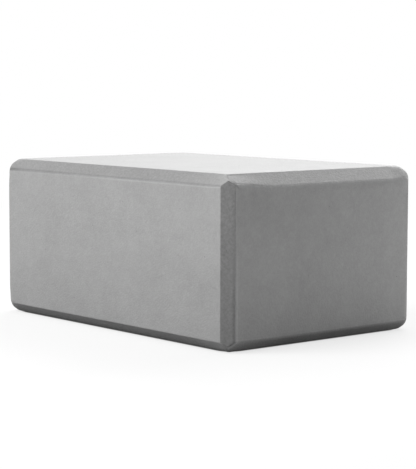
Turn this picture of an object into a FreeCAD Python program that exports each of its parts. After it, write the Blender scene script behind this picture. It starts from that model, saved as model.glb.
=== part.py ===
import FreeCAD
import Part
import Sketcher
import os

# A yoga block: one piece of closed-cell foam, cut to a box and bevelled along all twelve edges.
# Millimetres, +Z up, +X along the length. The origin is the centre of the face that it rests on.

SIZES = {
    "block_length": 228.6,
    "block_width": 152.4,
    "block_height": 101.6,
    "bevel_leg": 6.35,  # from the old edge to where a 45 degree bevel meets each face
    "edge_round": 1.6,  # softening where two faces of the foam meet
    "trim_overrun": 12.0,  # how far a bevel cut starts outside the blank
}

doc = FreeCAD.newDocument("YogaBlock")


def add_sheet():
    sheet = doc.addObject("Spreadsheet::Sheet", "Sizes")
    for row, (alias, value) in enumerate(SIZES.items(), start=1):
        sheet.set(f"A{row}", alias)
        sheet.set(f"B{row}", str(value))
        sheet.setAlias(f"B{row}", alias)
    doc.recompute()
    return sheet


def add_sketch(body, name, role):
    plane = next(item for item in body.Origin.OriginFeatures if item.Role == role)
    sketch = body.newObject("Sketcher::SketchObject", name)
    sketch.AttachmentSupport = [(plane, "")]
    sketch.MapMode = "FlatFace"
    return sketch


def draw_loop(sketch, corners):
    # A closed loop of straight lines. Returns the number of its first line.
    points = [FreeCAD.Vector(x, y, 0) for x, y in corners]
    first = sketch.GeometryCount
    count = len(points)
    for i in range(count):
        sketch.addGeometry(Part.LineSegment(points[i], points[(i + 1) % count]), False)
    for i in range(count):
        sketch.addConstraint(Sketcher.Constraint("Coincident", first + i, 2, first + (i + 1) % count, 1))
    return first


def drive(sketch, name, kind, start, end, value, expression):
    # A named distance between the starts of two lines, bound to the sheet.
    index = sketch.addConstraint(Sketcher.Constraint(kind, start, 1, end, 1, value))
    sketch.renameConstraint(index, name)
    sketch.setExpression(f"Constraints.{name}", expression)


def draw_bevelled_outline(sketch, across, up):
    # A rectangle centred on the sketch's origin, with its four corners cut at 45 degrees.
    # The lines run anticlockwise from the bottom side, with a bevel after each side.
    half_across = SIZES[across] / 2
    half_up = SIZES[up] / 2
    leg = SIZES["bevel_leg"]
    inner_across = half_across - leg
    inner_up = half_up - leg
    corners = [
        (-inner_across, -half_up),
        (inner_across, -half_up),
        (half_across, -inner_up),
        (half_across, inner_up),
        (inner_across, half_up),
        (-inner_across, half_up),
        (-half_across, inner_up),
        (-half_across, -inner_up),
    ]
    first = draw_loop(sketch, corners)
    x_axis = -1
    y_axis = -2
    mirrored = [(0, 1, y_axis), (5, 4, y_axis), (7, 2, y_axis), (6, 3, y_axis), (0, 5, x_axis), (7, 6, x_axis)]
    for one, other, axis in mirrored:
        sketch.addConstraint(Sketcher.Constraint("Symmetric", first + one, 1, first + other, 1, axis))
    drive(sketch, "across", "DistanceX", first + 7, first + 2, SIZES[across], f"Sizes.{across}")
    drive(sketch, "up", "DistanceY", first, first + 5, SIZES[up], f"Sizes.{up}")
    drive(sketch, "leg_across", "DistanceX", first + 1, first + 2, leg, "Sizes.bevel_leg")
    drive(sketch, "leg_up", "DistanceY", first + 1, first + 2, leg, "Sizes.bevel_leg")


def draw_trim_limit(sketch, across, up):
    # The outer edge of a bevel cut: a plain rectangle that lies clear of the blank.
    overrun = SIZES["trim_overrun"]
    half_across = SIZES[across] / 2 + overrun
    half_up = SIZES[up] / 2 + overrun
    corners = [
        (-half_across, -half_up),
        (half_across, -half_up),
        (half_across, half_up),
        (-half_across, half_up),
    ]
    first = draw_loop(sketch, corners)
    for side in (0, 2):
        sketch.addConstraint(Sketcher.Constraint("Horizontal", first + side))
        sketch.addConstraint(Sketcher.Constraint("Vertical", first + side + 1))
    sketch.addConstraint(Sketcher.Constraint("Symmetric", first, 1, first + 2, 1, -1, 1))
    outer_across = f"Sizes.{across} + 2 * Sizes.trim_overrun"
    outer_up = f"Sizes.{up} + 2 * Sizes.trim_overrun"
    drive(sketch, "outer_across", "DistanceX", first, first + 1, 2 * half_across, outer_across)
    drive(sketch, "outer_up", "DistanceY", first + 1, first + 2, 2 * half_up, outer_up)


def cut_bevels(body, name, role, across):
    # One cut right through the blank takes off the four edges that run square to this plane.
    sketch = add_sketch(body, name + "Outline", role)
    sketch.setExpression(".AttachmentOffset.Base.y", "Sizes.block_height / 2")
    draw_trim_limit(sketch, across, "block_height")
    draw_bevelled_outline(sketch, across, "block_height")
    pocket = body.newObject("PartDesign::Pocket", name)
    pocket.Profile = sketch
    pocket.Type = "ThroughAll"
    pocket.SideType = "Symmetric"
    doc.recompute()
    return pocket


def bevelled_volume():
    # A box less twelve triangular prisms. The last term is what they share at the eight corners.
    length = SIZES["block_length"]
    width = SIZES["block_width"]
    height = SIZES["block_height"]
    leg = SIZES["bevel_leg"]
    return length * width * height - 2 * leg ** 2 * (length + width + height) + 6 * leg ** 3


def make_foam_block():
    body = doc.addObject("PartDesign::Body", "foam_block")

    # The blank stands on the XY plane, with the four upright bevels in its outline.
    plan = add_sketch(body, "PlanOutline", "XY_Plane")
    draw_bevelled_outline(plan, "block_length", "block_width")
    blank = body.newObject("PartDesign::Pad", "Blank")
    blank.Profile = plan
    blank.setExpression("Length", "Sizes.block_height")
    doc.recompute()

    # The bevels along the length and across the ends. Three of them meet in a point at each corner.
    cut_bevels(body, "LongBevels", "YZ_Plane", "block_width")
    end_bevels = cut_bevels(body, "EndBevels", "XZ_Plane", "block_length")
    if abs(end_bevels.Shape.Volume / bevelled_volume() - 1) > 1e-6:
        raise RuntimeError("the bevel cuts took off the wrong volume")

    rounding = body.newObject("PartDesign::Fillet", "EdgeRounding")
    rounding.Base = (end_bevels, [""])
    rounding.UseAllEdges = True
    rounding.setExpression("Radius", "Sizes.edge_round")
    doc.recompute()
    return body


def check_document(bodies):
    for item in doc.Objects:
        if "Invalid" in item.State or "Error" in item.State:
            raise RuntimeError(f"{item.Label} failed: {item.State}")
    for body in bodies:
        if body.Shape.isNull() or not body.Shape.isValid():
            raise RuntimeError(f"{body.Label} has no valid shape")


add_sheet()
bodies = [make_foam_block()]
check_document(bodies)
os.makedirs("parts", exist_ok=True)
for body in bodies:
    body.Shape.exportStep(f"parts/{body.Label}.step")
    box = body.Shape.BoundBox
    print(f"{body.Label}: {box.XLength:.2f} x {box.YLength:.2f} x {box.ZLength:.2f} mm,",
          f"{body.Shape.Volume / 1000:.1f} cm3, {len(body.Shape.Faces)} faces")
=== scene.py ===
import bpy
import math
from mathutils import Matrix, Vector
from types import SimpleNamespace


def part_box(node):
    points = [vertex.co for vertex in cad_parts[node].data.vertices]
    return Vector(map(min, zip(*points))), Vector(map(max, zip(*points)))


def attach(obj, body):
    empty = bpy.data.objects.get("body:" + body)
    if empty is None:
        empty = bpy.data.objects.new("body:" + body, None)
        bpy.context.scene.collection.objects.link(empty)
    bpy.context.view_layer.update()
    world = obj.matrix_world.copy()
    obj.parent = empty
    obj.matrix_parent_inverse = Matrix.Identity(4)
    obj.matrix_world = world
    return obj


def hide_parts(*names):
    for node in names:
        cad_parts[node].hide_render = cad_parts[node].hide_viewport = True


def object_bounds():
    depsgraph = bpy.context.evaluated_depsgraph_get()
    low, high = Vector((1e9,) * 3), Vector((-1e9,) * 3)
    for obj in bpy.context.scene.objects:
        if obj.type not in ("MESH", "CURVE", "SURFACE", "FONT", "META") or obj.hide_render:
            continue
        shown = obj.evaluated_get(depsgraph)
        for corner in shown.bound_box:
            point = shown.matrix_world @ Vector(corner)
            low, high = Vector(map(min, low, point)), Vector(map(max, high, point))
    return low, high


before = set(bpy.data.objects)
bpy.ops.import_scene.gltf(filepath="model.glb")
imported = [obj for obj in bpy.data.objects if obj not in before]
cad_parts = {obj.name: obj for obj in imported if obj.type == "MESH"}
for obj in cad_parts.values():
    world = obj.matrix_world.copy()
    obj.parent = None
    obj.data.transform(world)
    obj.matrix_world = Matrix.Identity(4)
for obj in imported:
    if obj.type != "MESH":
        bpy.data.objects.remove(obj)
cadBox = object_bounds()
scene = bpy.context.scene
scene.view_settings.view_transform = "Standard"
mm = 0.001  # the scene is in metres, and sizes are written in millimetres


def addNode(tree, kind, inputs=(), **settings):
    node = tree.nodes.new(kind)
    for name, value in settings.items():
        setattr(node, name, value)
    sockets = [socket for socket in node.inputs if socket.enabled]
    if isinstance(inputs, dict):  # by name, and otherwise in the order in which the node shows them
        sockets = [next(socket for socket in sockets if socket.name == name) for name in inputs]
        inputs = inputs.values()
    for socket, value in zip(sockets, inputs):
        if isinstance(value, bpy.types.Node):  # stands for the first output that it shows
            value = next(output for output in value.outputs if output.enabled)
        if isinstance(value, bpy.types.NodeSocket):
            tree.links.new(value, socket)
        else:
            socket.default_value = value
    return node


def linearColour(hexCode):
    channels = [int(hexCode[i:i + 2], 16) / 255 for i in (1, 3, 5)]
    return [c / 12.92 if c <= 0.04045 else ((c + 0.055) / 1.055) ** 2.4 for c in channels] + [1.0]


# Camera: found by fitting the block's edge lines in the photograph
photoView = {
    "width": 416,  # the photograph's frame, in pixels
    "height": 469,
    "focal": 1651.3,  # focal length, in pixels
    "azimuth": 50.13,  # degrees
    "elevation": 5.57,
    "roll": 0.13,
    "distance": 1060.6 * mm,
    "aimRight": 3.9 * mm,  # from the block's centre to the picture's centre
    "aimUp": 4.2 * mm,
}


def makeCamera():
    azimuth, elevation, roll = (math.radians(photoView[k]) for k in ("azimuth", "elevation", "roll"))
    forward = Vector((
        -math.sin(azimuth) * math.cos(elevation),
        math.cos(azimuth) * math.cos(elevation),
        -math.sin(elevation),
    ))
    right = Vector((math.cos(azimuth), math.sin(azimuth), 0))
    up = right.cross(forward)
    place = (cadBox[0] + cadBox[1]) / 2 - forward * photoView["distance"]
    place += right * photoView["aimRight"] + up * photoView["aimUp"]
    rolledRight = right * math.cos(roll) + up * math.sin(roll)
    rolledUp = up * math.cos(roll) - right * math.sin(roll)
    data = bpy.data.cameras.new("photoCamera")
    data.lens = photoView["focal"] * data.sensor_width / max(photoView["width"], photoView["height"])
    camera = bpy.data.objects.new("photoCamera", data)
    scene.collection.objects.link(camera)
    turn = Matrix((rolledRight, rolledUp, -forward)).transposed().to_4x4()
    camera.matrix_world = Matrix.Translation(place) @ turn
    scene.camera = camera
    print("camera ready, lens", round(data.lens, 2), "mm")


# Foam: closed-cell EVA, cut from a bun with a blade, so the skin is off and the cells lie open.
# To the eye it is a dull even grey with a fine open grain, a few pinholes and a soft sheen at low angles.
# The bevels are milled, not sliced: their torn cells look more speckled, and they carry painted shade that
# darkens them.
foamLook = {
    "dark": "#8b8b8b",
    "mid": "#989898",
    "light": "#a4a4a4",
    "pinhole": "#707070",
    "roughness": 0.62,
    "ior": 1.49,  # EVA
    "sheen": 0.25,
    "sheenRoughness": 0.5,
    "noises": {  # size of each pattern, and its detail
        "cloud": (30.0 * mm, 2.0),
        "mottle": (9.0 * mm, 3.0),
        "grain": (2.4 * mm, 3.0),
        "tear": (1.5 * mm, 4.0),  # on the bevels only
    },
    "cell": 1.1 * mm,  # real cells are about 0.3 mm: drawn coarser, or they would not show
    "streakLong": 110.0 * mm,  # blade drag along the length
    "streakWide": 3.2 * mm,
    "toneShares": {"cloud": 0.5, "mottle": 0.45, "grain": 0.55, "cell": 0.35, "streak": 0.15},
    "tearShare": 1.6,
    "reliefShares": {"grain": 0.8, "streak": 0.15},  # added to the cells
    "reliefDepth": 0.22 * mm,
    "reliefStrength": 0.4,
    "pinholeSpacing": 11.0 * mm,
    "pinholeSize": 0.45 * mm,
    "pinholeCore": 0.6,  # the share of its size within which a pinhole is fully dark
    "markShade": 0.62,  # painted shade in a cutter's line, and painted highlight beside it
    "bevelShade": 0.68,  # how much of its lightness a milled bevel keeps under its painted shade
}


def makeFoamMaterial():
    look = foamLook
    material = bpy.data.materials.new("evaFoamKnifeCut")
    material.use_nodes = True
    tree = material.node_tree
    tree.nodes.clear()
    place = addNode(tree, "ShaderNodeTexCoord").outputs["Object"]
    mark = addNode(tree, "ShaderNodeAttribute", attribute_name="cutMarkAndPaintedLight").outputs["Fac"]
    milledShade = addNode(tree, "ShaderNodeAttribute", attribute_name="bevelMilledAndShade").outputs["Fac"]
    layers = {}
    for name, (size, detail) in look["noises"].items():
        pattern = {"Vector": place, "Scale": 1 / size, "Detail": detail}
        layers[name] = addNode(tree, "ShaderNodeTexNoise", pattern)
    layers["cell"] = addNode(tree, "ShaderNodeTexVoronoi", {"Vector": place, "Scale": 1 / look["cell"]})
    stretch = (1 / look["streakLong"], 1 / look["streakWide"], 1 / look["streakWide"])
    drag = addNode(tree, "ShaderNodeMapping", {"Vector": place, "Scale": stretch})
    layers["streak"] = addNode(tree, "ShaderNodeTexNoise", {"Vector": drag, "Scale": 1.0})

    # All layers add to one tone, around a half, with torn cells only where the foam is milled
    tearShare = addNode(tree, "ShaderNodeMath", (milledShade, look["tearShare"]), operation="MULTIPLY")
    shares = dict(look["toneShares"], tear=tearShare)
    tone = 0.5
    for name, share in shares.items():
        centred = addNode(tree, "ShaderNodeMath", (layers[name], 0.5), operation="SUBTRACT")
        tone = addNode(tree, "ShaderNodeMath", (centred, share, tone), operation="MULTIPLY_ADD")
    ramp = addNode(tree, "ShaderNodeValToRGB", {"Fac": tone})
    ramp.color_ramp.elements.new(0.5)
    for stop, name in zip(ramp.color_ramp.elements, ("dark", "mid", "light")):
        stop.color = linearColour(look[name])

    # Pinholes: Voronoi cells with one dot each, painted dark as the shade inside a tiny hole
    dots = addNode(tree, "ShaderNodeTexVoronoi", {"Vector": place, "Scale": 1 / look["pinholeSpacing"]})
    reach = look["pinholeSize"] / look["pinholeSpacing"]
    spot = addNode(tree, "ShaderNodeMapRange", (dots, look["pinholeCore"] * reach, reach, 1.0, 0.0))
    pinhole = linearColour(look["pinhole"])
    colour = addNode(tree, "ShaderNodeMix", (spot, ramp, pinhole), data_type="RGBA")

    # Painted shade and highlights: the cutter's lines and creases darken, their lips and ridges lighten,
    # and the milled bevels darken
    for shade, share in ((mark, look["markShade"]), (milledShade, look["bevelShade"] - 1)):
        level = addNode(tree, "ShaderNodeMath", (shade, share, 1.0), operation="MULTIPLY_ADD")
        shaded = (1.0, colour, level)
        colour = addNode(tree, "ShaderNodeMix", shaded, data_type="RGBA", blend_type="MULTIPLY")

    relief = layers["cell"]
    for name, share in look["reliefShares"].items():
        relief = addNode(tree, "ShaderNodeMath", (layers[name], share, relief), operation="MULTIPLY_ADD")
    bump = addNode(tree, "ShaderNodeBump", {
        "Height": relief,
        "Distance": look["reliefDepth"],
        "Strength": look["reliefStrength"],
    })
    shader = addNode(tree, "ShaderNodeBsdfPrincipled", {
        "Base Color": colour,
        "Roughness": look["roughness"],
        "IOR": look["ior"],
        "Sheen Weight": look["sheen"],
        "Sheen Roughness": look["sheenRoughness"],
        "Normal": bump,
    })
    addNode(tree, "ShaderNodeOutputMaterial", {"Surface": shader})
    return material


# Block: one piece of foam, bevelled along every edge, with knife-cut faces that are never quite flat.
# Each value is an input of its node tree
blockForm = {
    "bevels": (6.5 * mm, 8.2 * mm, 6.3 * mm),  # legs of the bevels that run along X, Y and Z
    "baseBevels": (6.2 * mm, 5.9 * mm, 6.3 * mm),  # the same around the base
    "frontBevels": (6.0 * mm, 5.7 * mm, 6.3 * mm),  # narrower at the front upright edge
    "frontBaseBevels": (6.2 * mm, 6.5 * mm, 6.3 * mm),
    "frontSoftBevels": (6.5 * mm, 5.8 * mm, 6.3 * mm),  # upper bevels there, where their edges are soft
    "wornBevels": (5.9 * mm, 6.9 * mm, 6.3 * mm),  # at worn corners they run out into a broad rounding
    "wornBaseBevels": (5.9 * mm, 5.9 * mm, 6.3 * mm),
    "edgeRound": 1.1 * mm,  # radius where a bevel meets a face
    "softRound": 5.0 * mm,  # where the end bevels meet the end faces, and under the base
    "wornRound": 6.5 * mm,
    "cornerWidth": 7.6 * mm,  # wear, taper, painted corner light and overrun are full this near to a corner
    "wornReach": 18.0 * mm,  # and end this far from it
    "frontReach": 42.0 * mm,  # the end bevels taper towards the front upright edge
    "rubReach": 45.0 * mm,  # the bevels are painted lighter towards the corners, as painted light
    "overrun": 9.2 * mm,  # the cutter's crease at the front top corner runs on over the end face
    "frontWear": 0.05,  # the front upright edge is hardly worn at its corners
    "taperCurve": 2.0,
    "tiltFrom": -6.0 * mm,  # the taper comes in across the end bevel, measured from its middle line
    "tiltTo": 3.5 * mm,
    "softFrom": -1.0 * mm,  # the softness of its edge comes in likewise
    "softTo": 3.0 * mm,
    "softSide": 4.0 * mm,  # and fades over this width beside the upright bevels
    "underFrom": 4.5 * mm,  # heights between which the bevels turn softly under the base
    "underTo": 2.0 * mm,
    "swell": 0.30 * mm,  # slow waves in the faces
    "swellSize": 60.0 * mm,
    "ripple": 0.05 * mm,
    "rippleSize": 13.0 * mm,
    "hollow": 0.45 * mm,  # in the end faces, below their upper edge
    "hollowTop": 6.0 * mm,  # how far below the bevel it is deepest, and where it ends
    "hollowFoot": 45.0 * mm,
    "hollowSideFrom": -2.0 * mm,  # it comes in beside the upright bevels
    "hollowSideTo": 2.0 * mm,
    "scoreDepth": 0.35 * mm,  # line that the bevel cutter leaves in the face beside it
    "scoreWide": 1.0 * mm,
    "scoreEntry": 140.0 * mm,  # the cutter digs in where it enters, and lifts over this length
    "pitDensity": 260.0,  # open voids for each square metre
    "pitSmallest": 0.25 * mm,
    "pitLargest": 0.65 * mm,
    "pitSkew": 3.0,  # most of them are small
    "pitLift": 0.3,  # height of a void's centre above the face, in radii
    "rimAngle": math.radians(32),  # edges that bend more than this are rims of voids
    "seed": 7,
}


def makeCoreTree():
    # A bevelled box with its planes moved in by a radius: points at that distance make the rounded block
    tree = bpy.data.node_groups.new("bevelledCore", "GeometryNodeTree")
    for name in ("Size", "Bevels", "Base Bevels"):
        tree.interface.new_socket(name, in_out="INPUT", socket_type="NodeSocketVector")
    tree.interface.new_socket("Round", in_out="INPUT", socket_type="NodeSocketFloat")
    tree.interface.new_socket("Core", in_out="OUTPUT", socket_type="NodeSocketGeometry")
    given = addNode(tree, "NodeGroupInput").outputs
    slimmer = addNode(tree, "ShaderNodeVectorMath", ((-2, -2, -2), given["Round"]), operation="SCALE")
    inner = addNode(tree, "ShaderNodeVectorMath", (given["Size"], slimmer), operation="ADD")
    shorter = addNode(tree, "ShaderNodeMath", (given["Round"], math.sqrt(2) - 2), operation="MULTIPLY")
    place = addNode(tree, "GeometryNodeInputPosition")
    height = addNode(tree, "ShaderNodeSeparateXYZ", (place,)).outputs["Z"]
    # Cubes are trimmed along X, Y and Z, each by these multiples of the three legs.
    # Three cubes give the corners of the faces, and the last the points where three bevels meet
    cornerRows = (
        ((0, 0, 0), (0, 0, -2), (0, -2, 0)),
        ((0, 0, -2), (0, 0, 0), (-2, 0, 0)),
        ((0, -2, 0), (-2, 0, 0), (0, 0, 0)),
        ((1, -1, -1), (-1, 1, -1), (-1, -1, 1)),
    )
    joined = addNode(tree, "GeometryNodeJoinGeometry")
    # The upper half takes the upper bevels, and the lower half those of the base
    for bevels, unwanted in (("Bevels", "LESS_THAN"), ("Base Bevels", "GREATER_THAN")):
        legs = addNode(tree, "ShaderNodeVectorMath", (given[bevels], shorter), operation="ADD")
        cubes = addNode(tree, "GeometryNodeJoinGeometry")
        for rows in cornerRows:
            trims = []
            for row in rows:
                trims.append(addNode(tree, "ShaderNodeVectorMath", (legs, row), operation="DOT_PRODUCT"))
            trim = addNode(tree, "ShaderNodeCombineXYZ", trims)
            size = addNode(tree, "ShaderNodeVectorMath", (inner, trim), operation="ADD")
            cube = addNode(tree, "GeometryNodeMeshCube", {"Size": size})
            tree.links.new(cube.outputs["Mesh"], cubes.inputs[0])
        other = addNode(tree, "ShaderNodeMath", (height, 0.0), operation=unwanted)
        kept = addNode(tree, "GeometryNodeDeleteGeometry", {"Geometry": cubes, "Selection": other})
        tree.links.new(kept.outputs[0], joined.inputs[0])
    hull = addNode(tree, "GeometryNodeConvexHull", (joined,))
    addNode(tree, "NodeGroupOutput", (hull,))
    return tree


def spreadRows(tree, given, position):
    # A box with its rows of mesh drawn close along every edge
    box = addNode(tree, "GeometryNodeMeshCube", {
        "Size": (2, 2, 2),
        "Vertices X": given["Rows X"],
        "Vertices Y": given["Rows Y"],
        "Vertices Z": given["Rows Z"],
    })
    outward = addNode(tree, "ShaderNodeVectorMath", (position,), operation="ABSOLUTE")
    side = addNode(tree, "ShaderNodeVectorMath", (position,), operation="SIGN")
    bands = (
        ((0, 0, 0), given["Face Share"], given["Face Half"]),
        (given["Face Share"], given["Edge Share"], given["Edge Band"]),
        (given["Edge Share"], (1, 1, 1), given["Bevel Band"]),
    )
    spread = (0, 0, 0)
    for start, end, width in bands:
        part = addNode(tree, "ShaderNodeMapRange", {
            "Vector": outward,
            "From Min": start,
            "From Max": end,
            "To Min": (0, 0, 0),
            "To Max": width,
        }, data_type="FLOAT_VECTOR")
        spread = addNode(tree, "ShaderNodeVectorMath", (spread, part), operation="ADD")
    spread = addNode(tree, "ShaderNodeVectorMath", (spread, side), operation="MULTIPLY")
    return addNode(tree, "GeometryNodeSetPosition", {"Geometry": box, "Position": spread})


def findZones(tree, given, position):
    # Where a point lies: how deep below each pair of faces, in which half, and how far from a corner
    half = addNode(tree, "ShaderNodeVectorMath", (given["Size"], 0.5), operation="SCALE")
    outward = addNode(tree, "ShaderNodeVectorMath", (position,), operation="ABSOLUTE")
    inset = addNode(tree, "ShaderNodeVectorMath", (half, outward), operation="SUBTRACT")
    inset = addNode(tree, "ShaderNodeSeparateXYZ", (inset,)).outputs
    spot = addNode(tree, "ShaderNodeSeparateXYZ", (position,)).outputs
    upper = addNode(tree, "ShaderNodeMath", (spot[2], 0.0), operation="GREATER_THAN")
    lower = addNode(tree, "ShaderNodeMath", (1.0, upper), operation="SUBTRACT")
    fromCorner = addNode(tree, "ShaderNodeMath", (inset[0], inset[1]), operation="MAXIMUM")
    fromCorner = addNode(tree, "ShaderNodeMath", (fromCorner, inset[2]), operation="MAXIMUM")

    # Worn at the corners, but hardly at those of the front upright edge
    right = addNode(tree, "ShaderNodeMath", (spot[0], 0.0), operation="GREATER_THAN")
    near = addNode(tree, "ShaderNodeMath", (spot[1], 0.0), operation="LESS_THAN")
    front = addNode(tree, "ShaderNodeMath", (right, near), operation="MULTIPLY")
    wear = addNode(tree, "ShaderNodeMapRange", (front, 0.0, 1.0, 1.0, given["Front Wear"]))
    corner = addNode(tree, "ShaderNodeMapRange", {
        "Value": fromCorner,
        "From Min": given["Worn Reach"],
        "From Max": given["Corner Width"],
    }, interpolation_type="SMOOTHSTEP")
    worn = addNode(tree, "ShaderNodeMath", (corner, wear), operation="MULTIPLY")

    # The end bevels taper towards the front upright edge, on the end face but not on the top
    taper = addNode(tree, "ShaderNodeMapRange", (inset[1], given["Front Reach"], given["Corner Width"]))
    taper = addNode(tree, "ShaderNodeMath", (taper, given["Taper Curve"]), operation="POWER")
    across = addNode(tree, "ShaderNodeMath", (inset[2], inset[0]), operation="SUBTRACT")
    tilt = addNode(tree, "ShaderNodeMapRange", (across, given["Tilt From"], given["Tilt To"]))
    for share in (front, tilt):
        taper = addNode(tree, "ShaderNodeMath", (taper, share), operation="MULTIPLY")

    # Soft along the edges of the end faces, and where the bevels turn under at the base
    aside = addNode(tree, "ShaderNodeMath", (inset[1], inset[2]), operation="SUBTRACT")
    bands = (
        (across, given["Soft From"], given["Soft To"]),
        (aside, 0.0, given["Soft Side"]),
        (inset[2], given["Under From"], given["Under To"], 0.0, lower),
    )
    endEdge, endSide, under = (
        addNode(tree, "ShaderNodeMapRange", band, interpolation_type="SMOOTHSTEP") for band in bands
    )
    endEdge = addNode(tree, "ShaderNodeMath", (endEdge, endSide), operation="MULTIPLY")
    soft = addNode(tree, "ShaderNodeMath", (endEdge, under), operation="MAXIMUM")

    # Legs of the bevels beside the point
    legs = []
    for kind in ("Base Bevels", "Bevels"):
        tapered = (taper, given[kind], given["Front " + kind])
        legs.append(addNode(tree, "ShaderNodeMix", tapered, data_type="VECTOR"))
    legs = addNode(tree, "ShaderNodeMix", (upper, *legs), data_type="VECTOR")
    legs = addNode(tree, "ShaderNodeSeparateXYZ", (legs,)).outputs
    return SimpleNamespace(
        half=half, inset=inset, spot=spot, upper=upper, lower=lower, fromCorner=fromCorner,
        wear=wear, worn=worn, taper=taper, soft=soft, legs=legs,
    )


def roundBlock(tree, given, position, mesh, zones):
    # Each form: the points at a radius from its core, and their normals
    coreTree = makeCoreTree()
    cores = (
        ("cut", "Edge Round", "Bevels", "Base Bevels"),
        ("cutFront", "Edge Round", "Front Bevels", "Front Base Bevels"),
        ("soft", "Soft Round", "Bevels", "Base Bevels"),
        ("softFront", "Soft Round", "Front Soft Bevels", "Front Base Bevels"),
        ("worn", "Worn Round", "Worn Bevels", "Worn Base Bevels"),
    )
    forms = {}
    for name, radius, bevels, baseBevels in cores:
        core = addNode(tree, "GeometryNodeGroup", {
            "Size": given["Size"],
            "Bevels": given[bevels],
            "Base Bevels": given[baseBevels],
            "Round": given[radius],
        }, node_tree=coreTree)
        nearest = addNode(tree, "GeometryNodeProximity", {"Geometry": core})
        away = addNode(tree, "ShaderNodeVectorMath", (position, nearest), operation="SUBTRACT")
        normal = addNode(tree, "ShaderNodeVectorMath", (away,), operation="NORMALIZE")
        reach = addNode(tree, "ShaderNodeVectorMath", (normal, given[radius]), operation="SCALE")
        point = addNode(tree, "ShaderNodeVectorMath", (nearest, reach), operation="ADD")
        forms[name] = (point, normal)

    # Tapered towards the front, then softened and worn where the zones say
    blends = (
        ("tapered", zones.taper, "cut", "cutFront"),
        ("softTapered", zones.taper, "soft", "softFront"),
        ("softened", zones.soft, "tapered", "softTapered"),
        ("whole", zones.worn, "softened", "worn"),
    )
    for name, share, one, other in blends:
        pairs = zip(forms[one], forms[other])
        forms[name] = [addNode(tree, "ShaderNodeMix", (share, *pair), data_type="VECTOR") for pair in pairs]
    mesh = addNode(tree, "GeometryNodeSetPosition", {"Geometry": mesh, "Position": forms["whole"][0]})
    return mesh, forms["tapered"][1], forms["whole"][1]


def leanOf(tree, normal):
    # Shares of a normal along X, Y and Z, and the greatest of them
    lean = addNode(tree, "ShaderNodeVectorMath", (normal,), operation="ABSOLUTE")
    lean = addNode(tree, "ShaderNodeSeparateXYZ", (lean,)).outputs
    greatest = addNode(tree, "ShaderNodeMath", (lean[0], lean[1]), operation="MAXIMUM")
    greatest = addNode(tree, "ShaderNodeMath", (greatest, lean[2]), operation="MAXIMUM")
    return lean, greatest


# Marks of the cutter, with painted shade and painted highlights. A mark below 0 dents the surface and is
# painted dark as shade, and one above 0 is a painted highlight.
# Shares of a point's normal along X, Y and Z tell which face or bevel it lies on
blockMarks = {
    "facing": 0.65,  # least share along a face's own axis
    "straight": 0.15,  # greatest share along an edge, away from its ends
    "leaning": 0.3,  # least share along an axis that a bevel leans to
    "sloped": 0.9,  # greatest share along any axis, on a bevel
    "longPlace": 0.2 * mm,  # lines beside the long edges, measured from the bevel
    "longGroove": 0.38,
    "longHighlight": 0.3,
    "entryGroove": 1.2,  # added where the cutter enters
    "entryCurve": 8.0,
    "entryWiden": 0.5,
    "uprightPlace": -0.5 * mm,  # lines beside the upright edges
    "uprightWide": 0.8,  # in score widths
    "uprightMark": 0.4,  # of groove and painted highlight alike
    "uprightSpan": 30.0 * mm,  # they come in from this far above the middle to as far below it
    "endPlace": 1.8 * mm,  # broad faint lines beside the upper end edges, and painted highlights at the base
    "endWide": 3.0,
    "endGroove": 0.12,
    "endHighlight": 0.35,
    "highlightPlace": 1.1 * mm,
    "highlightWide": 0.5,
    "lineCore": 0.3 * mm,  # half the width over which a line is at its full strength
    "fadeSize": 40.0 * mm,  # lines come and go over this length
    "fadeFrom": 0.35,
    "fadeTo": 0.65,
    "fadeLeast": 0.6,
    "creaseWide": 1.0 * mm,  # ridge between the end bevel and the upright one
    "creaseGroove": 0.5,
    "creaseHighlightPlace": 1.8 * mm,  # beside it at the base
    "creaseHighlightWide": 1.8 * mm,
    "creaseHighlight": 0.5,
    "uprightRidgeWide": 0.7 * mm,  # between the long bevel and the upright one
    "crossRidgeWide": 2.5 * mm,  # between the long bevel and the end one
    "ridgeHighlight": 0.2,
    "ridgeCore": 0.3,  # share of a ridge's width at full strength
    "endShade": 0.36,  # painted shade: the upper end bevel darkens towards the front
    "endShadeEdge": 0.8 * mm,  # over this width from its lower edge
    "hollowShade": 0.16,  # painted shade in the hollows, darker towards the front
    "hollowShadeSpan": 70.0 * mm,  # from this far behind the middle to as far before it
    "milledFrom": 0.96,  # greatest share where milling starts to show, and where it shows in full
    "milledFull": 0.80,
    "shadeUpright": 1.08,  # how much painted shade and speckle each kind of bevel gets
    "shadeLong": 1.0,
    "shadeEnd": 0.88,
    "cornerLightWorn": 0.2,  # how much painted light the bevels get near worn corners
    "cornerLightLong": 0.55,  # and beside the front upright edge
    "cornerLightEnd": -0.30,  # below 0 it is painted shade
    # above 1 the base bevels are painted lighter than the faces
    "cornerLightBase": 1.3,
}


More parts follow.
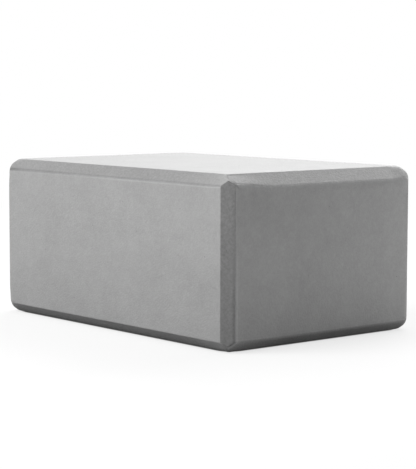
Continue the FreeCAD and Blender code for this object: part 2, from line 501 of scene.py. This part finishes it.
def scoreFaces(tree, given, position, zones, lean):
    # How strong each line is: deep where the cutter enters the long edges, and firmer down the upright ones
    marks = blockMarks
    halfLength = addNode(tree, "ShaderNodeSeparateXYZ", (zones.half,)).outputs["X"]
    run = addNode(tree, "ShaderNodeMath", (zones.spot[0], halfLength), operation="ADD")
    dig = addNode(tree, "ShaderNodeMapRange", (run, 0.0, given["Score Entry"], 1.0, 0.0))
    entry = addNode(tree, "ShaderNodeMath", (dig, marks["entryCurve"]), operation="POWER")
    terms = (entry, marks["entryGroove"], marks["longGroove"])
    longGroove = addNode(tree, "ShaderNodeMath", terms, operation="MULTIPLY_ADD")
    longGroove = addNode(tree, "ShaderNodeMath", (longGroove, zones.upper), operation="MULTIPLY")
    terms = (dig, -marks["longHighlight"], marks["longHighlight"])
    longHighlight = addNode(tree, "ShaderNodeMath", terms, operation="MULTIPLY_ADD")
    longHighlight = addNode(tree, "ShaderNodeMath", (longHighlight, zones.upper), operation="MULTIPLY")
    longWide = addNode(tree, "ShaderNodeMath", (dig, marks["entryWiden"], 1.0), operation="MULTIPLY_ADD")
    span = marks["uprightSpan"]
    upright = addNode(tree, "ShaderNodeMapRange", (zones.spot[2], span, -span, 0.0, marks["uprightMark"]))
    endGroove = addNode(tree, "ShaderNodeMapRange", (zones.taper, 0.0, 1.0, marks["endGroove"], 0.0))
    endGroove = addNode(tree, "ShaderNodeMath", (endGroove, zones.upper), operation="MULTIPLY")
    endHighlight = addNode(tree, "ShaderNodeMath", (zones.lower, marks["endHighlight"]), operation="MULTIPLY")

    # The numbers are the axes that the face looks along, that cross the edge, and that follow it
    lines = (
        (1, 2, 0, marks["longPlace"], longWide, longGroove, longHighlight),
        (0, 1, 2, marks["uprightPlace"], marks["uprightWide"], upright, upright),
        (0, 2, 1, marks["endPlace"], marks["endWide"], endGroove, endHighlight),
    )
    mark = 0.0
    for face, cross, follow, place, wide, groove, highlight in lines:
        terms = (zones.inset[cross], zones.legs[follow])
        depth = addNode(tree, "ShaderNodeMath", terms, operation="SUBTRACT")
        facing = addNode(tree, "ShaderNodeMath", (lean[face], marks["facing"]), operation="GREATER_THAN")
        straight = addNode(tree, "ShaderNodeMath", (lean[follow], marks["straight"]), operation="LESS_THAN")
        shown = addNode(tree, "ShaderNodeMath", (facing, straight), operation="MULTIPLY")
        # Each line is a groove, dented and painted dark as shade, with a painted highlight beside it
        parts = (
            (place, wide, groove, -1.0),
            (marks["highlightPlace"], marks["highlightWide"], highlight, 1.0),
        )
        for middle, width, strength, sign in parts:
            width = addNode(tree, "ShaderNodeMath", (given["Score Wide"], width), operation="MULTIPLY")
            away = addNode(tree, "ShaderNodeMath", (depth, middle), operation="SUBTRACT")
            away = addNode(tree, "ShaderNodeMath", (away,), operation="ABSOLUTE")
            edge = (away, width, marks["lineCore"])
            band = addNode(tree, "ShaderNodeMapRange", edge, interpolation_type="SMOOTHSTEP")
            band = addNode(tree, "ShaderNodeMath", (band, shown), operation="MULTIPLY")
            signed = addNode(tree, "ShaderNodeMath", (strength, sign), operation="MULTIPLY")
            mark = addNode(tree, "ShaderNodeMath", (band, signed, mark), operation="MULTIPLY_ADD")
    patches = addNode(tree, "ShaderNodeTexNoise", {
        "Vector": position,
        "W": given["Seed"],
        "Scale": 1 / marks["fadeSize"],
    }, noise_dimensions="4D")
    fade = addNode(tree, "ShaderNodeMapRange", {
        "Value": patches,
        "From Min": marks["fadeFrom"],
        "From Max": marks["fadeTo"],
        "To Min": marks["fadeLeast"],
        "To Max": 1.0,
    })
    return addNode(tree, "ShaderNodeMath", (mark, fade), operation="MULTIPLY")


def markRidges(tree, given, zones, lean, greatest, mark):
    # Between two bevels: a crease, dented and painted dark as shade, where an upright bevel runs into an
    # end bevel, and painted highlights elsewhere
    marks = blockMarks
    sloped = addNode(tree, "ShaderNodeMath", (greatest, marks["sloped"]), operation="LESS_THAN")
    fresh = addNode(tree, "ShaderNodeMath", (1.0, zones.wear), operation="SUBTRACT")
    ridge = addNode(tree, "ShaderNodeMath", (fresh, sloped), operation="MULTIPLY")
    runOut = addNode(tree, "ShaderNodeMapRange", {
        "Value": zones.fromCorner,
        "From Min": given["Overrun"],
        "From Max": given["Corner Width"],
        "To Max": zones.upper,
    })
    crease = addNode(tree, "ShaderNodeMath", (runOut, fresh), operation="MULTIPLY")
    crease = addNode(tree, "ShaderNodeMath", (crease, ridge), operation="MAXIMUM")
    creaseHighlight = addNode(tree, "ShaderNodeMath", (zones.lower, marks["creaseHighlight"]), operation="MULTIPLY")
    pairs = zip(zones.inset, zones.legs)
    reach = [addNode(tree, "ShaderNodeMath", pair, operation="ADD") for pair in pairs]

    # The numbers are the axes that the two bevels run along, and the one that both lean to
    ridges = (
        (1, 2, 0, 0.0, marks["creaseWide"], -marks["creaseGroove"], crease),
        (1, 2, 0, marks["creaseHighlightPlace"], marks["creaseHighlightWide"], creaseHighlight, ridge),
        (0, 2, 1, 0.0, marks["uprightRidgeWide"], marks["ridgeHighlight"], ridge),
        (0, 1, 2, 0.0, marks["crossRidgeWide"], marks["ridgeHighlight"], ridge),
    )
    for one, other, shared, middle, width, strength, where in ridges:
        away = addNode(tree, "ShaderNodeMath", (reach[one], reach[other]), operation="SUBTRACT")
        away = addNode(tree, "ShaderNodeMath", (away, middle), operation="SUBTRACT")
        away = addNode(tree, "ShaderNodeMath", (away,), operation="ABSOLUTE")
        edge = (away, width, marks["ridgeCore"] * width)
        line = addNode(tree, "ShaderNodeMapRange", edge, interpolation_type="SMOOTHSTEP")
        shown = addNode(tree, "ShaderNodeMath", (lean[shared], marks["leaning"]), operation="GREATER_THAN")
        for share in (shown, where):
            line = addNode(tree, "ShaderNodeMath", (line, share), operation="MULTIPLY")
        mark = addNode(tree, "ShaderNodeMath", (line, strength, mark), operation="MULTIPLY_ADD")

    # Painted shade: the upper end bevel darkens towards the front, mostly on its lower side, as the taper
    # does
    dark = addNode(tree, "ShaderNodeMath", (lean[1], marks["leaning"]), operation="LESS_THAN")
    depth = addNode(tree, "ShaderNodeMath", (zones.inset[2], zones.legs[1]), operation="SUBTRACT")
    above = addNode(tree, "ShaderNodeMapRange", (depth, 0.0, -marks["endShadeEdge"]))
    for share in (sloped, zones.upper, zones.taper, above):
        dark = addNode(tree, "ShaderNodeMath", (dark, share), operation="MULTIPLY")
    return addNode(tree, "ShaderNodeMath", (dark, -marks["endShade"], mark), operation="MULTIPLY_ADD")


def hollowEnds(tree, given, zones, lean, mark):
    # Below their upper edge the end faces hollow out a little, and get painted shade there that darkens
    # towards the front
    marks = blockMarks
    hollow = addNode(tree, "ShaderNodeMath", (lean[0], marks["facing"]), operation="GREATER_THAN")
    hollow = addNode(tree, "ShaderNodeMath", (hollow, zones.upper), operation="MULTIPLY")
    below = addNode(tree, "ShaderNodeMath", (zones.inset[2], zones.legs[1]), operation="SUBTRACT")
    aside = addNode(tree, "ShaderNodeMath", (zones.inset[1], zones.legs[2]), operation="SUBTRACT")
    edges = (
        (below, 0.0, given["Hollow Top"]),
        (below, given["Hollow Foot"], given["Hollow Top"]),
        (aside, given["Hollow Side From"], given["Hollow Side To"]),
    )
    for edge in edges:
        share = addNode(tree, "ShaderNodeMapRange", edge, interpolation_type="SMOOTHSTEP")
        hollow = addNode(tree, "ShaderNodeMath", (hollow, share), operation="MULTIPLY")
    span = marks["hollowShadeSpan"]
    forward = addNode(tree, "ShaderNodeMapRange", (zones.spot[1], span, -span))
    shade = addNode(tree, "ShaderNodeMath", (forward, hollow), operation="MULTIPLY")
    mark = addNode(tree, "ShaderNodeMath", (shade, -marks["hollowShade"], mark), operation="MULTIPLY_ADD")
    return mark, hollow


def millBevels(tree, given, zones, lean, greatest):
    # How milled the foam looks and how much painted shade it gets: painted lighter towards the corners,
    # apart from the upright bevels
    marks = blockMarks
    milledShade = addNode(tree, "ShaderNodeMapRange", (greatest, marks["milledFrom"], marks["milledFull"]))
    level = addNode(tree, "ShaderNodeMath", (lean[2], marks["leaning"]), operation="GREATER_THAN")
    ofEnd = addNode(tree, "ShaderNodeMath", (lean[1], marks["leaning"]), operation="LESS_THAN")
    terms = (ofEnd, marks["cornerLightEnd"] - marks["cornerLightLong"], marks["cornerLightLong"])
    most = addNode(tree, "ShaderNodeMath", terms, operation="MULTIPLY_ADD")
    most = addNode(tree, "ShaderNodeMix", (zones.lower, most, marks["cornerLightBase"]))
    most = addNode(tree, "ShaderNodeMapRange", (zones.wear, 0.0, 1.0, most, marks["cornerLightWorn"]))
    cornerLight = addNode(tree, "ShaderNodeMapRange", {
        "Value": zones.fromCorner,
        "From Min": given["Rub Reach"],
        "From Max": given["Corner Width"],
        "To Max": most,
    })
    cornerLight = addNode(tree, "ShaderNodeMath", (cornerLight, level), operation="MULTIPLY")
    kept = addNode(tree, "ShaderNodeMath", (1.0, cornerLight), operation="SUBTRACT")

    # Painted shade and speckle are strongest on the upright bevels and weakest on those of the ends
    terms = (level, marks["shadeLong"] - marks["shadeUpright"], marks["shadeUpright"])
    kindShade = addNode(tree, "ShaderNodeMath", terms, operation="MULTIPLY_ADD")
    terms = (ofEnd, marks["shadeEnd"] - marks["shadeLong"], kindShade)
    kindShade = addNode(tree, "ShaderNodeMath", terms, operation="MULTIPLY_ADD")
    for share in (kept, kindShade):
        milledShade = addNode(tree, "ShaderNodeMath", (milledShade, share), operation="MULTIPLY")
    return milledShade


def makeBlockTree(values):
    tree = bpy.data.node_groups.new("foamBlock", "GeometryNodeTree")
    kinds = {tuple: "Vector", float: "Float", int: "Int", bpy.types.Material: "Material"}
    for name, value in values.items():
        tree.interface.new_socket(name, in_out="INPUT", socket_type="NodeSocket" + kinds[type(value)])
    tree.interface.new_socket("Block", in_out="OUTPUT", socket_type="NodeSocketGeometry")
    given = addNode(tree, "NodeGroupInput").outputs
    position = addNode(tree, "GeometryNodeInputPosition").outputs[0]
    mesh = spreadRows(tree, given, position)
    zones = findZones(tree, given, position)
    mesh, cutNormal, wornNormal = roundBlock(tree, given, position, mesh, zones)
    lean, greatest = leanOf(tree, cutNormal)
    mark = scoreFaces(tree, given, position, zones, lean)
    mark = markRidges(tree, given, zones, lean, greatest, mark)
    mark, hollow = hollowEnds(tree, given, zones, lean, mark)
    bevelMilledAndShade = millBevels(tree, given, zones, *leanOf(tree, wornNormal))

    # Uneven faces: slow waves and ripples on either side of the cut, with grooves and hollows below it
    groove = addNode(tree, "ShaderNodeMath", (mark, 0.0), operation="MINIMUM")
    groove = addNode(tree, "ShaderNodeMath", (groove, given["Score Depth"]), operation="MULTIPLY")
    sunk = addNode(tree, "ShaderNodeMath", (hollow, given["Hollow"]), operation="MULTIPLY")
    lift = addNode(tree, "ShaderNodeMath", (groove, sunk), operation="SUBTRACT")
    for height, span in (("Swell", "Swell Size"), ("Ripple", "Ripple Size")):
        scale = addNode(tree, "ShaderNodeMath", (1.0, given[span]), operation="DIVIDE")
        wave = addNode(tree, "ShaderNodeTexNoise", {
            "Vector": position,
            "W": given["Seed"],
            "Scale": scale,
            "Detail": 1.0,
        }, noise_dimensions="4D")
        wave = addNode(tree, "ShaderNodeMath", (wave, 0.5), operation="SUBTRACT")
        lift = addNode(tree, "ShaderNodeMath", (wave, given[height], lift), operation="MULTIPLY_ADD")
    move = addNode(tree, "ShaderNodeVectorMath", (cutNormal, lift), operation="SCALE")
    mesh = addNode(tree, "GeometryNodeSetPosition", {"Geometry": mesh, "Offset": move})

    # Nothing goes below the floor. Twice the half size leaves the sides alone
    lowest = addNode(tree, "ShaderNodeVectorMath", (zones.half, (-2, -2, -1)), operation="MULTIPLY")
    rested = addNode(tree, "ShaderNodeVectorMath", (position, lowest), operation="MAXIMUM")
    mesh = addNode(tree, "GeometryNodeSetPosition", {"Geometry": mesh, "Position": rested})
    for name, value in (("cutMarkAndPaintedLight", mark), ("bevelMilledAndShade", bevelMilledAndShade)):
        stored = {"Geometry": mesh, "Name": name, "Value": value}
        mesh = addNode(tree, "GeometryNodeStoreNamedAttribute", stored)

    # Open voids in the cut faces
    spots = addNode(tree, "GeometryNodeDistributePointsOnFaces", {
        "Mesh": mesh,
        "Density": given["Pit Density"],
        "Seed": given["Seed"],
    })
    chance = addNode(tree, "FunctionNodeRandomValue", {"Seed": given["Seed"]})
    skewed = addNode(tree, "ShaderNodeMath", (chance, given["Pit Skew"]), operation="POWER")
    radius = addNode(tree, "ShaderNodeMapRange", {
        "Value": skewed,
        "To Min": given["Pit Smallest"],
        "To Max": given["Pit Largest"],
    })
    void = addNode(tree, "GeometryNodeMeshIcoSphere", {"Radius": 1.0, "Subdivisions": 2})
    above = addNode(tree, "ShaderNodeCombineXYZ", {"Z": given["Pit Lift"]})
    lifted = addNode(tree, "GeometryNodeTransform", {"Geometry": void, "Translation": above})
    voids = addNode(tree, "GeometryNodeInstanceOnPoints", {
        "Points": spots,
        "Instance": lifted,
        "Rotation": spots.outputs["Rotation"],
        "Scale": radius,
    })
    pitted = addNode(tree, "GeometryNodeMeshBoolean", {"Mesh 1": mesh, "Mesh 2": voids}, solver="MANIFOLD")

    # Smooth, apart from the rims of the voids
    bend = addNode(tree, "GeometryNodeInputMeshEdgeAngle")
    rim = addNode(tree, "ShaderNodeMath", (bend, given["Rim Angle"]), operation="GREATER_THAN")
    smooth = addNode(tree, "GeometryNodeSetShadeSmooth", {"Geometry": pitted})
    crisp = addNode(tree, "GeometryNodeSetShadeSmooth", {
        "Geometry": smooth,
        "Selection": rim,
        "Shade Smooth": False,
    }, domain="EDGE")
    rise = addNode(tree, "ShaderNodeVectorMath", (zones.half, (0, 0, 1)), operation="MULTIPLY")
    stood = addNode(tree, "GeometryNodeTransform", {"Geometry": crisp, "Translation": rise})
    whole = addNode(tree, "GeometryNodeRealizeInstances", {"Geometry": stood})
    painted = addNode(tree, "GeometryNodeSetMaterial", {"Geometry": whole, "Material": given["Material"]})
    addNode(tree, "NodeGroupOutput", (painted,))
    return tree


# Rows of the block's mesh
blockRows = {
    "faceStep": 2.3 * mm,  # spacing on the faces
    "edgeSteps": 15,  # rows around each rounding
    "edgeBand": 3.4 * mm,
    "bevelSteps": 9,  # rows from a rounding to the middle of its bevel
    "bevelBand": 5.2 * mm,
}


def inputName(key):
    # From cornerWidth to Corner Width
    return "".join(" " + letter if letter.isupper() else letter for letter in key).title()


def makeBlock(material):
    rows = blockRows
    low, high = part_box("foam_block")
    faceHalf = [side / 2 - rows["edgeBand"] - rows["bevelBand"] for side in high - low]
    faceSteps = [round(reach / rows["faceStep"]) for reach in faceHalf]
    steps = [count + rows["edgeSteps"] + rows["bevelSteps"] for count in faceSteps]
    values = {
        "Size": tuple(high - low),
        "Face Half": tuple(faceHalf),
        "Face Share": tuple(face / whole for face, whole in zip(faceSteps, steps)),
        "Edge Share": tuple((face + rows["edgeSteps"]) / whole for face, whole in zip(faceSteps, steps)),
        "Edge Band": (rows["edgeBand"],) * 3,
        "Bevel Band": (rows["bevelBand"],) * 3,
        "Material": material,
    }
    for axis, count in zip("XYZ", steps):
        values["Rows " + axis] = 2 * count + 1
    for key, value in blockForm.items():
        values[inputName(key)] = value
    block = bpy.data.objects.new("foamBlock", bpy.data.meshes.new("foamBlock"))
    scene.collection.objects.link(block)
    modifier = block.modifiers.new("foamBlock", "NODES")
    modifier.node_group = makeBlockTree(values)
    for socket in modifier.node_group.interface.items_tree:
        if socket.in_out == "INPUT":
            modifier[socket.identifier] = values[socket.name]
    evaluated = block.evaluated_get(bpy.context.evaluated_depsgraph_get())
    mesh = bpy.data.meshes.new_from_object(evaluated)
    block.modifiers.remove(modifier)
    block.data = mesh
    mesh.name = "foamBlock"
    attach(block, "root")
    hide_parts("foam_block")
    mesh.calc_loop_triangles()
    print("foam block ready,", len(mesh.loop_triangles), "triangles")


# Studio: a pale floor that runs out to white, a white surround and soft boxes
studio = {
    "floorSize": 6.0,
    "floorColour": "#e6e6e6",
    "floorWhite": 0.72,  # how much of the floor shows as plain white, so that its shadow stays light
    "whiteReach": 0.8,  # how far from the block it is all white
    "floorNear": "#898989",  # painted shade: what the floor gives back to the block is darkened near it, as if in its shadow
    "floorFar": "#cbcbcb",
    "floorReach": 0.15,
    "floorCurve": 0.5,
    "floorContactShadow": "#4a4a4a",  # painted contact shadow: a thin dark line on the floor along the base
    "contactInset": 16.0 * mm,  # from the block's sides in to a rectangle, which the painted contact shadow follows
    "contactFrom": 8.8 * mm,  # it ends between these distances from that rectangle
    "contactTo": 11.2 * mm,
    "ambient": 0.405,
    "boxes": {  # place, aim, width and height in metres; power in watts
        "leftStrip": ((0.1, -0.426, 0.3), (0, 0, 0.05), 0.5, 0.2, 0.46),
        "leftBox": ((-0.286, -0.785, 1.047), (0, 0, 0.05), 0.6, 0.6, 11.3),
        "backBox": ((-0.421, 0.903, 0.886), (0, 0, 0.05), 1.3, 0.6, 16.4),
        "rightPanel": ((0.194, 0.156, 0.05), (0.194, 0, 0.05), 0.12, 0.1, 0.04),
    },
}


def makeSurround():
    world = bpy.data.worlds.new("whiteSurround")
    world.use_nodes = True
    scene.world = world
    tree = world.node_tree
    tree.nodes.clear()
    path = addNode(tree, "ShaderNodeLightPath").outputs
    seen = path["Is Camera Ray"]
    for ray in ("Is Glossy Ray", "Is Transmission Ray"):
        seen = addNode(tree, "ShaderNodeMath", (seen, path[ray]), operation="MAXIMUM")
    level = addNode(tree, "ShaderNodeMapRange", (seen, 0.0, 1.0, studio["ambient"], 1.0))
    sky = addNode(tree, "ShaderNodeBackground", {"Color": (1, 1, 1, 1), "Strength": level})
    addNode(tree, "ShaderNodeOutputWorld", {"Surface": sky})


def makeLamps():
    for name, (place, aim, wide, high, power) in studio["boxes"].items():
        data = bpy.data.lights.new(name, "AREA")
        data.shape = "RECTANGLE"
        data.size = wide
        data.size_y = high
        data.energy = power
        lamp = bpy.data.objects.new(name, data)
        scene.collection.objects.link(lamp)
        lamp.location = place
        lamp.rotation_euler = (Vector(place) - Vector(aim)).to_track_quat("Z", "Y").to_euler()
        lamp.visible_camera = False


def makeFloorMaterial():
    # Matt paper: the camera sees it nearly white, with a painted contact shadow along the base, and it
    # gives a tone darkened by painted shade back to the block
    material = bpy.data.materials.new("paleFloor")
    material.use_nodes = True
    tree = material.node_tree
    tree.nodes.clear()
    cameraRay = addNode(tree, "ShaderNodeLightPath").outputs["Is Camera Ray"]
    place = addNode(tree, "ShaderNodeTexCoord").outputs["Object"]
    outward = addNode(tree, "ShaderNodeVectorMath", (place,), operation="ABSOLUTE")
    beyondSides = addNode(tree, "ShaderNodeVectorMath", (outward, cadBox[1]), operation="SUBTRACT")
    inset = (studio["contactInset"], studio["contactInset"], 0)
    beyondInset = addNode(tree, "ShaderNodeVectorMath", (beyondSides, inset), operation="ADD")
    distances = []
    for beyond in (beyondSides, beyondInset):
        outside = addNode(tree, "ShaderNodeVectorMath", (beyond, (0, 0, 0)), operation="MAXIMUM")
        distances.append(addNode(tree, "ShaderNodeVectorMath", (outside,), operation="LENGTH"))
    fromSides, fromInset = distances

    # Plain white shows to the camera only, and not under the block, where the camera sees the painted
    # contact shadow
    clear = addNode(tree, "ShaderNodeMapRange", (fromInset, studio["contactFrom"], studio["contactTo"]))
    white = addNode(tree, "ShaderNodeMapRange", {
        "Value": fromSides,
        "From Max": studio["whiteReach"],
        "To Min": studio["floorWhite"],
        "To Max": 1.0,
    })
    for share in (cameraRay, clear):
        white = addNode(tree, "ShaderNodeMath", (white, share), operation="MULTIPLY")
    # Painted shade: the tone given back to the block darkens near it, as if the floor there were in its
    # shadow
    away = addNode(tree, "ShaderNodeMapRange", (fromSides, 0.0, studio["floorReach"]))
    away = addNode(tree, "ShaderNodeMath", (away, studio["floorCurve"]), operation="POWER")
    tones = ("floorNear", "floorFar", "floorContactShadow", "floorColour")
    near, far, under, pale = (linearColour(studio[tone]) for tone in tones)
    bounce = addNode(tree, "ShaderNodeMix", (away, near, far), data_type="RGBA")
    # Painted contact shadow: the camera sees a dark line on the floor along the base
    shown = addNode(tree, "ShaderNodeMix", (clear, under, pale), data_type="RGBA")
    tint = addNode(tree, "ShaderNodeMix", (cameraRay, bounce, shown), data_type="RGBA")
    matte = addNode(tree, "ShaderNodeBsdfDiffuse", {"Color": tint})
    plain = addNode(tree, "ShaderNodeEmission", {"Color": (1, 1, 1, 1), "Strength": 1.0})
    both = addNode(tree, "ShaderNodeMixShader", (white, matte, plain))
    addNode(tree, "ShaderNodeOutputMaterial", {"Surface": both})
    return material


def makeStudio():
    makeSurround()
    makeLamps()
    reach = studio["floorSize"] / 2
    mesh = bpy.data.meshes.new("floor")
    corners = [(-reach, -reach, 0), (reach, -reach, 0), (reach, reach, 0), (-reach, reach, 0)]
    mesh.from_pydata(corners, [], [(0, 1, 2, 3)])
    mesh.materials.append(makeFloorMaterial())
    floor = bpy.data.objects.new("floor", mesh)
    scene.collection.objects.link(floor)
    print("studio ready")


makeCamera()
makeBlock(makeFoamMaterial())
makeStudio()
